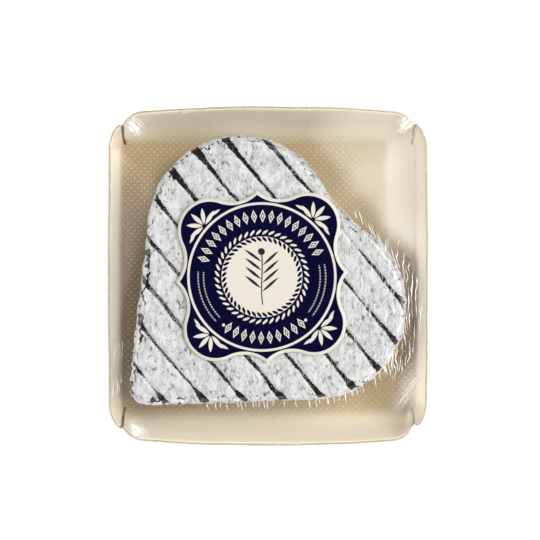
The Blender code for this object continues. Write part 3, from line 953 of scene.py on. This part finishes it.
# Painted highlights: white glare on the gathered folds at the corners.
glare = skin.ramp(fold + gather * 0.15, 0.45, 0.68) * skin.ramp(gather, 0.4, 0.9) * GLINT_SHARE
slant = strands(1.25, 15.0, -GATHER_SLANT, 0.42, 5.0, x=abs(x)) * skin.ramp(gather, 0.12, 0.5) * 0.45
glare = glare.math("MAXIMUM", slant)
raised_lines = strand.math("MAXIMUM", hair).math("MAXIMUM", fold * gather)
relief = skin.relief(raised_lines + crinkle * (gather * 1.2 + strand * 0.3 + 0.02), 0.3)
facing = skin.node("LayerWeight", inputs={"Blend": 0.5, "Normal": relief}, output=1)
shine = skin.node("BsdfAnisotropic", inputs={"Color": SHINE, "Roughness": 0.1, "Normal": relief})
nothing = skin.node("BsdfTransparent", inputs={"Color": (1, 1, 1, 1)})
shine_share = facing ** 5.0 * 0.9 + SHINE_HEAD_ON
clear = skin.node("MixShader", inputs={0: shine_share, 1: nothing, 2: shine})
# Painted reflection: the cream sheen painted over the film.
painted_sheen = skin.attribute("painted_sheen")
# Painted highlights: creases, streaks, folds and sheen are painted white by a matte surface mixed over the
# clear film.
painted_light_share = (raised_lines * GLINT_SHARE).math("MAXIMUM", glint_streak * 0.6).math("MAXIMUM", glare)
painted_light_share = painted_light_share.math("MAXIMUM", painted_sheen)
skin.feed("Base Color", skin.blend(skin.ramp(painted_sheen, 0.02, 0.1), GLINT_WHITE, SHEEN_CREAM))
white = Value(skin, skin.shader.outputs[0])
whole = skin.node("MixShader", inputs={0: painted_light_share, 1: clear, 2: white})
skin.tree.links.new(whole.socket, skin.tree.nodes["Material Output"].inputs["Surface"])

film = show("shrink_film", wrap, skin)
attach(film, "root")
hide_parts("film")


# Label. Coated paper, die-cut to a square with bulging corners and a pointed tip on each side, stuck to
# the film over the cheese. It is printed in navy on cream with rings, leaves and a sprig.
PAPER = 0.14 * MM
LABEL_LEVEL = CHEESE_TOP + 0.45 * MM
LABEL_TURN = math.radians(3.4)
WAIST = Vector((25.35, 8.0)) * MM
LABEL_REACH = 33.74 * MM
LABEL_CORNER = 10.69 * MM
HOLLOW_STEPS = 20
BULGE_STEPS = 16
BORDER = 1.15 * MM
RING_SHARES = (1.0, 0.985, 0.96, 0.92, 0.87, 0.81, 0.74, 0.66, 0.57, 0.48, 0.38, 0.28, 0.17, 0.07)
WAVE = 0.10 * MM
WAVE_SIZE = 11 * MM
# The print: radii, places and pitches in millimetres about the label's centre, on so many rays.
RAYS = 44
DISC = 13.4
INNER_WREATH = 13.5
OUTER_WREATH = 13.9
FRIEZE = 20.15
DOTTED_ARCS = 20.2
PEARL = Vector((13.6, -15.1))
RING = 24.3
FAN = 25.4
PETAL = math.radians(40)
CURL = 26.3
TWIG_PITCH = 2.9
BUD = 8.4
NAVY = colour(2, 2, 34)
WORN_NAVY = colour(14, 12, 62)
CREAM = colour(207, 202, 191)


def label_ring(inset):
    """The label's outline about its own centre, drawn in by inset."""
    middle = (LABEL_REACH - LABEL_CORNER) / math.sqrt(2)
    inward, aside = WAIST.x - middle, middle - WAIST.y
    hollow = (inward**2 + aside**2 - LABEL_CORNER**2) / (2 * (LABEL_CORNER - inward))
    hollow_centre = WAIST + Vector((hollow, 0))
    corner = Vector((middle, middle))
    bend, bulge = hollow + inset, LABEL_CORNER - inset
    tip = math.pi + math.asin(WAIST.y / bend)
    to_corner = corner - hollow_centre
    touch = math.atan2(to_corner.y, to_corner.x) % math.tau
    eighth = []
    for step in range(HOLLOW_STEPS + 1):
        eighth.append(hollow_centre + bend * heading(tip + (touch - tip) * step / HOLLOW_STEPS))
    start = touch - math.pi
    for step in range(1, BULGE_STEPS + 1):
        eighth.append(corner + bulge * heading(start + (math.pi / 4 - start) * step / BULGE_STEPS))
    quarter = eighth + [Vector((point.y, point.x)) for point in eighth[-2:0:-1]]
    return [Matrix.Rotation(turn * math.pi / 2, 2) @ point for turn in range(4) for point in quarter]


paper = bmesh.new()
field_layer = paper.verts.layers.float.new("field")
borders = list(zip(label_ring(0.0), label_ring(BORDER)))
sheet = paper.faces.new([paper.verts.new(raised(point, LABEL_LEVEL)) for point, _ in borders])
sheet.normal_update()
bmesh.ops.inset_region(paper, faces=[sheet], thickness=0.0, use_boundary=True)
for vertex in sheet.verts:
    vertex.co.xy = min(borders, key=lambda pair: (pair[0] - vertex.co.xy).length)[1]
    vertex[field_layer] = 1.0
for before, share in zip(RING_SHARES, RING_SHARES[1:]):
    bmesh.ops.inset_region(paper, faces=[sheet], thickness=0.0, use_boundary=True)
    for vertex in sheet.verts:
        vertex[field_layer] = 1.0
        vertex.co.xy *= share / before
bmesh.ops.poke(paper, faces=[sheet])
bmesh.ops.rotate(paper, verts=paper.verts, matrix=Matrix.Rotation(LABEL_TURN, 3, "Z"))
bmesh.ops.translate(paper, verts=paper.verts, vec=raised(LABEL_CENTRE, 0.0))
for vertex in paper.verts:
    vertex.co.z += WAVE * noise.noise(vertex.co / WAVE_SIZE)
bmesh.ops.recalc_face_normals(paper, faces=paper.faces[:])

ink = Finish("printed_paper", roughness=0.5, specular_ior_level=0.04)
place = ink.place(centre=(*LABEL_CENTRE, 0), turn=LABEL_TURN)
x, y, _ = ink.split(place)
radius = (x * x + y * y).math("SQRT")
angle = y.math("ARCTAN2", x)


def below(value, limit):
    """1 where value is under limit, with a printed edge."""
    return ink.ramp(value, limit + 0.06, limit - 0.06)


def around(count, slant=0.0, level=0.0):
    """Distance in mm from the middle of the nearest of count rays, which slant off from a radius."""
    turn = angle * (count / math.tau) + (radius - level) * slant
    return abs((turn.math("FRACT") - 0.5) * radius * (math.tau / count))


def leaf(across, along, length, width):
    """A pointed leaf from 0 to length along, width wide at its middle."""
    share = (along / length).math("MAXIMUM", 0.0).math("MINIMUM", 1.0)
    return below(across - share * (1 - share) * (2 * width), -0.07)


cell = (angle * (RAYS / math.tau)).math("FLOOR")
upright = ((cell + 0.5) * (math.tau / RAYS)).math("SINE")
in_frieze = ink.ramp(upright, 0.30, 0.31) + ink.ramp(upright, -0.78, -0.79)
diamond = around(RAYS) + abs(radius - FRIEZE) / 2.2
lozenges = below(abs(diamond - 0.8), 0.2) + below(diamond, 0.32)
arcs = below(abs(abs(radius - DOTTED_ARCS) - 0.9), 0.22) * ink.ramp(around(130), 0.1, 0.2) * 0.6
side = ink.ramp(abs(upright + 0.24), 0.38, 0.37)
frieze = lozenges * in_frieze + arcs * side
pearls = below(((abs(x) - PEARL.x) ** 2.0 + (y - PEARL.y) ** 2.0).math("SQRT"), 0.5)

ring = below(abs(radius - RING), 0.4)
outer_leaves = leaf(around(RAYS, 0.42, OUTER_WREATH), radius - OUTER_WREATH, 1.9, 1.3)
inner_leaves = leaf(around(RAYS, -0.42, INNER_WREATH), INNER_WREATH - radius, 1.9, 1.4)
disc = below(radius, DISC)

out = (abs(x) + abs(y)) * math.sqrt(0.5)
aside = abs(abs(x) - abs(y)) * math.sqrt(0.5)
reach = ((out - FAN) ** 2.0 + aside * aside).math("SQRT")
spread = aside.math("ARCTAN2", out - FAN)
petal = abs(((spread * (1 / PETAL) + 0.5).math("FRACT") - 0.5) * reach * PETAL)
fan = leaf(petal, reach - 0.5, 5.6, 1.5) * below(spread, 1.75)
curl = leaf(abs(radius - CURL), radius * aside.math("ARCTAN2", out) - 3.4, 4.4, 1.1)

trunk = x - (y * 0.25).math("SINE") * 0.4
branch = abs(trunk)
twig = y - branch * 0.8 + trunk.math("SIGN") * 0.6
twigs = abs(((twig / TWIG_PITCH).math("FRACT") - 0.5) * TWIG_PITCH)
foliage = leaf(twigs, branch, 5.8, 1.35) * ink.ramp(twig, -5.8, -5.7) * ink.ramp(twig, 5.8, 5.7)
stem = below(branch, 0.2) * ink.ramp(y, -9.2, -9.1) * ink.ramp(y, 7.6, 7.5)
bud = below((trunk * trunk + (y - BUD) ** 2.0).math("SQRT"), 1.15)
sprig = (foliage + stem + bud).math("MINIMUM", 1.0)

light = (ring + outer_leaves + frieze + pearls + fan + curl).math("MINIMUM", 1.0)
light = light.math("MAXIMUM", disc) - (inner_leaves + sprig * 0.97) * disc
field = ink.ramp(ink.attribute("field"), 0.9, 0.97)
light = 1 - field * (1 - light.math("MAXIMUM", 0.0))
blotch = ink.ramp(ink.mottle(place, 1.2, 3.0), 0.3, 0.7)
ink.feed("Base Color", ink.blend(light, ink.blend(blotch * 0.3, NAVY, WORN_NAVY), CREAM))
ink.feed("Roughness", light * 0.15 + 0.45)
ink.feed("Normal", ink.relief(ink.mottle(place, 0.4, 3.0), 0.01))

bare_paper = Finish("bare_paper", base_color=CREAM, roughness=0.8)

label = show("paper_label", paper, ink, bare_paper)
body = label.modifiers.new("paper", "SOLIDIFY")
body.thickness = PAPER
body.offset = -1.0
body.material_offset = 1
body.material_offset_rim = 1
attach(label, "root")
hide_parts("label")
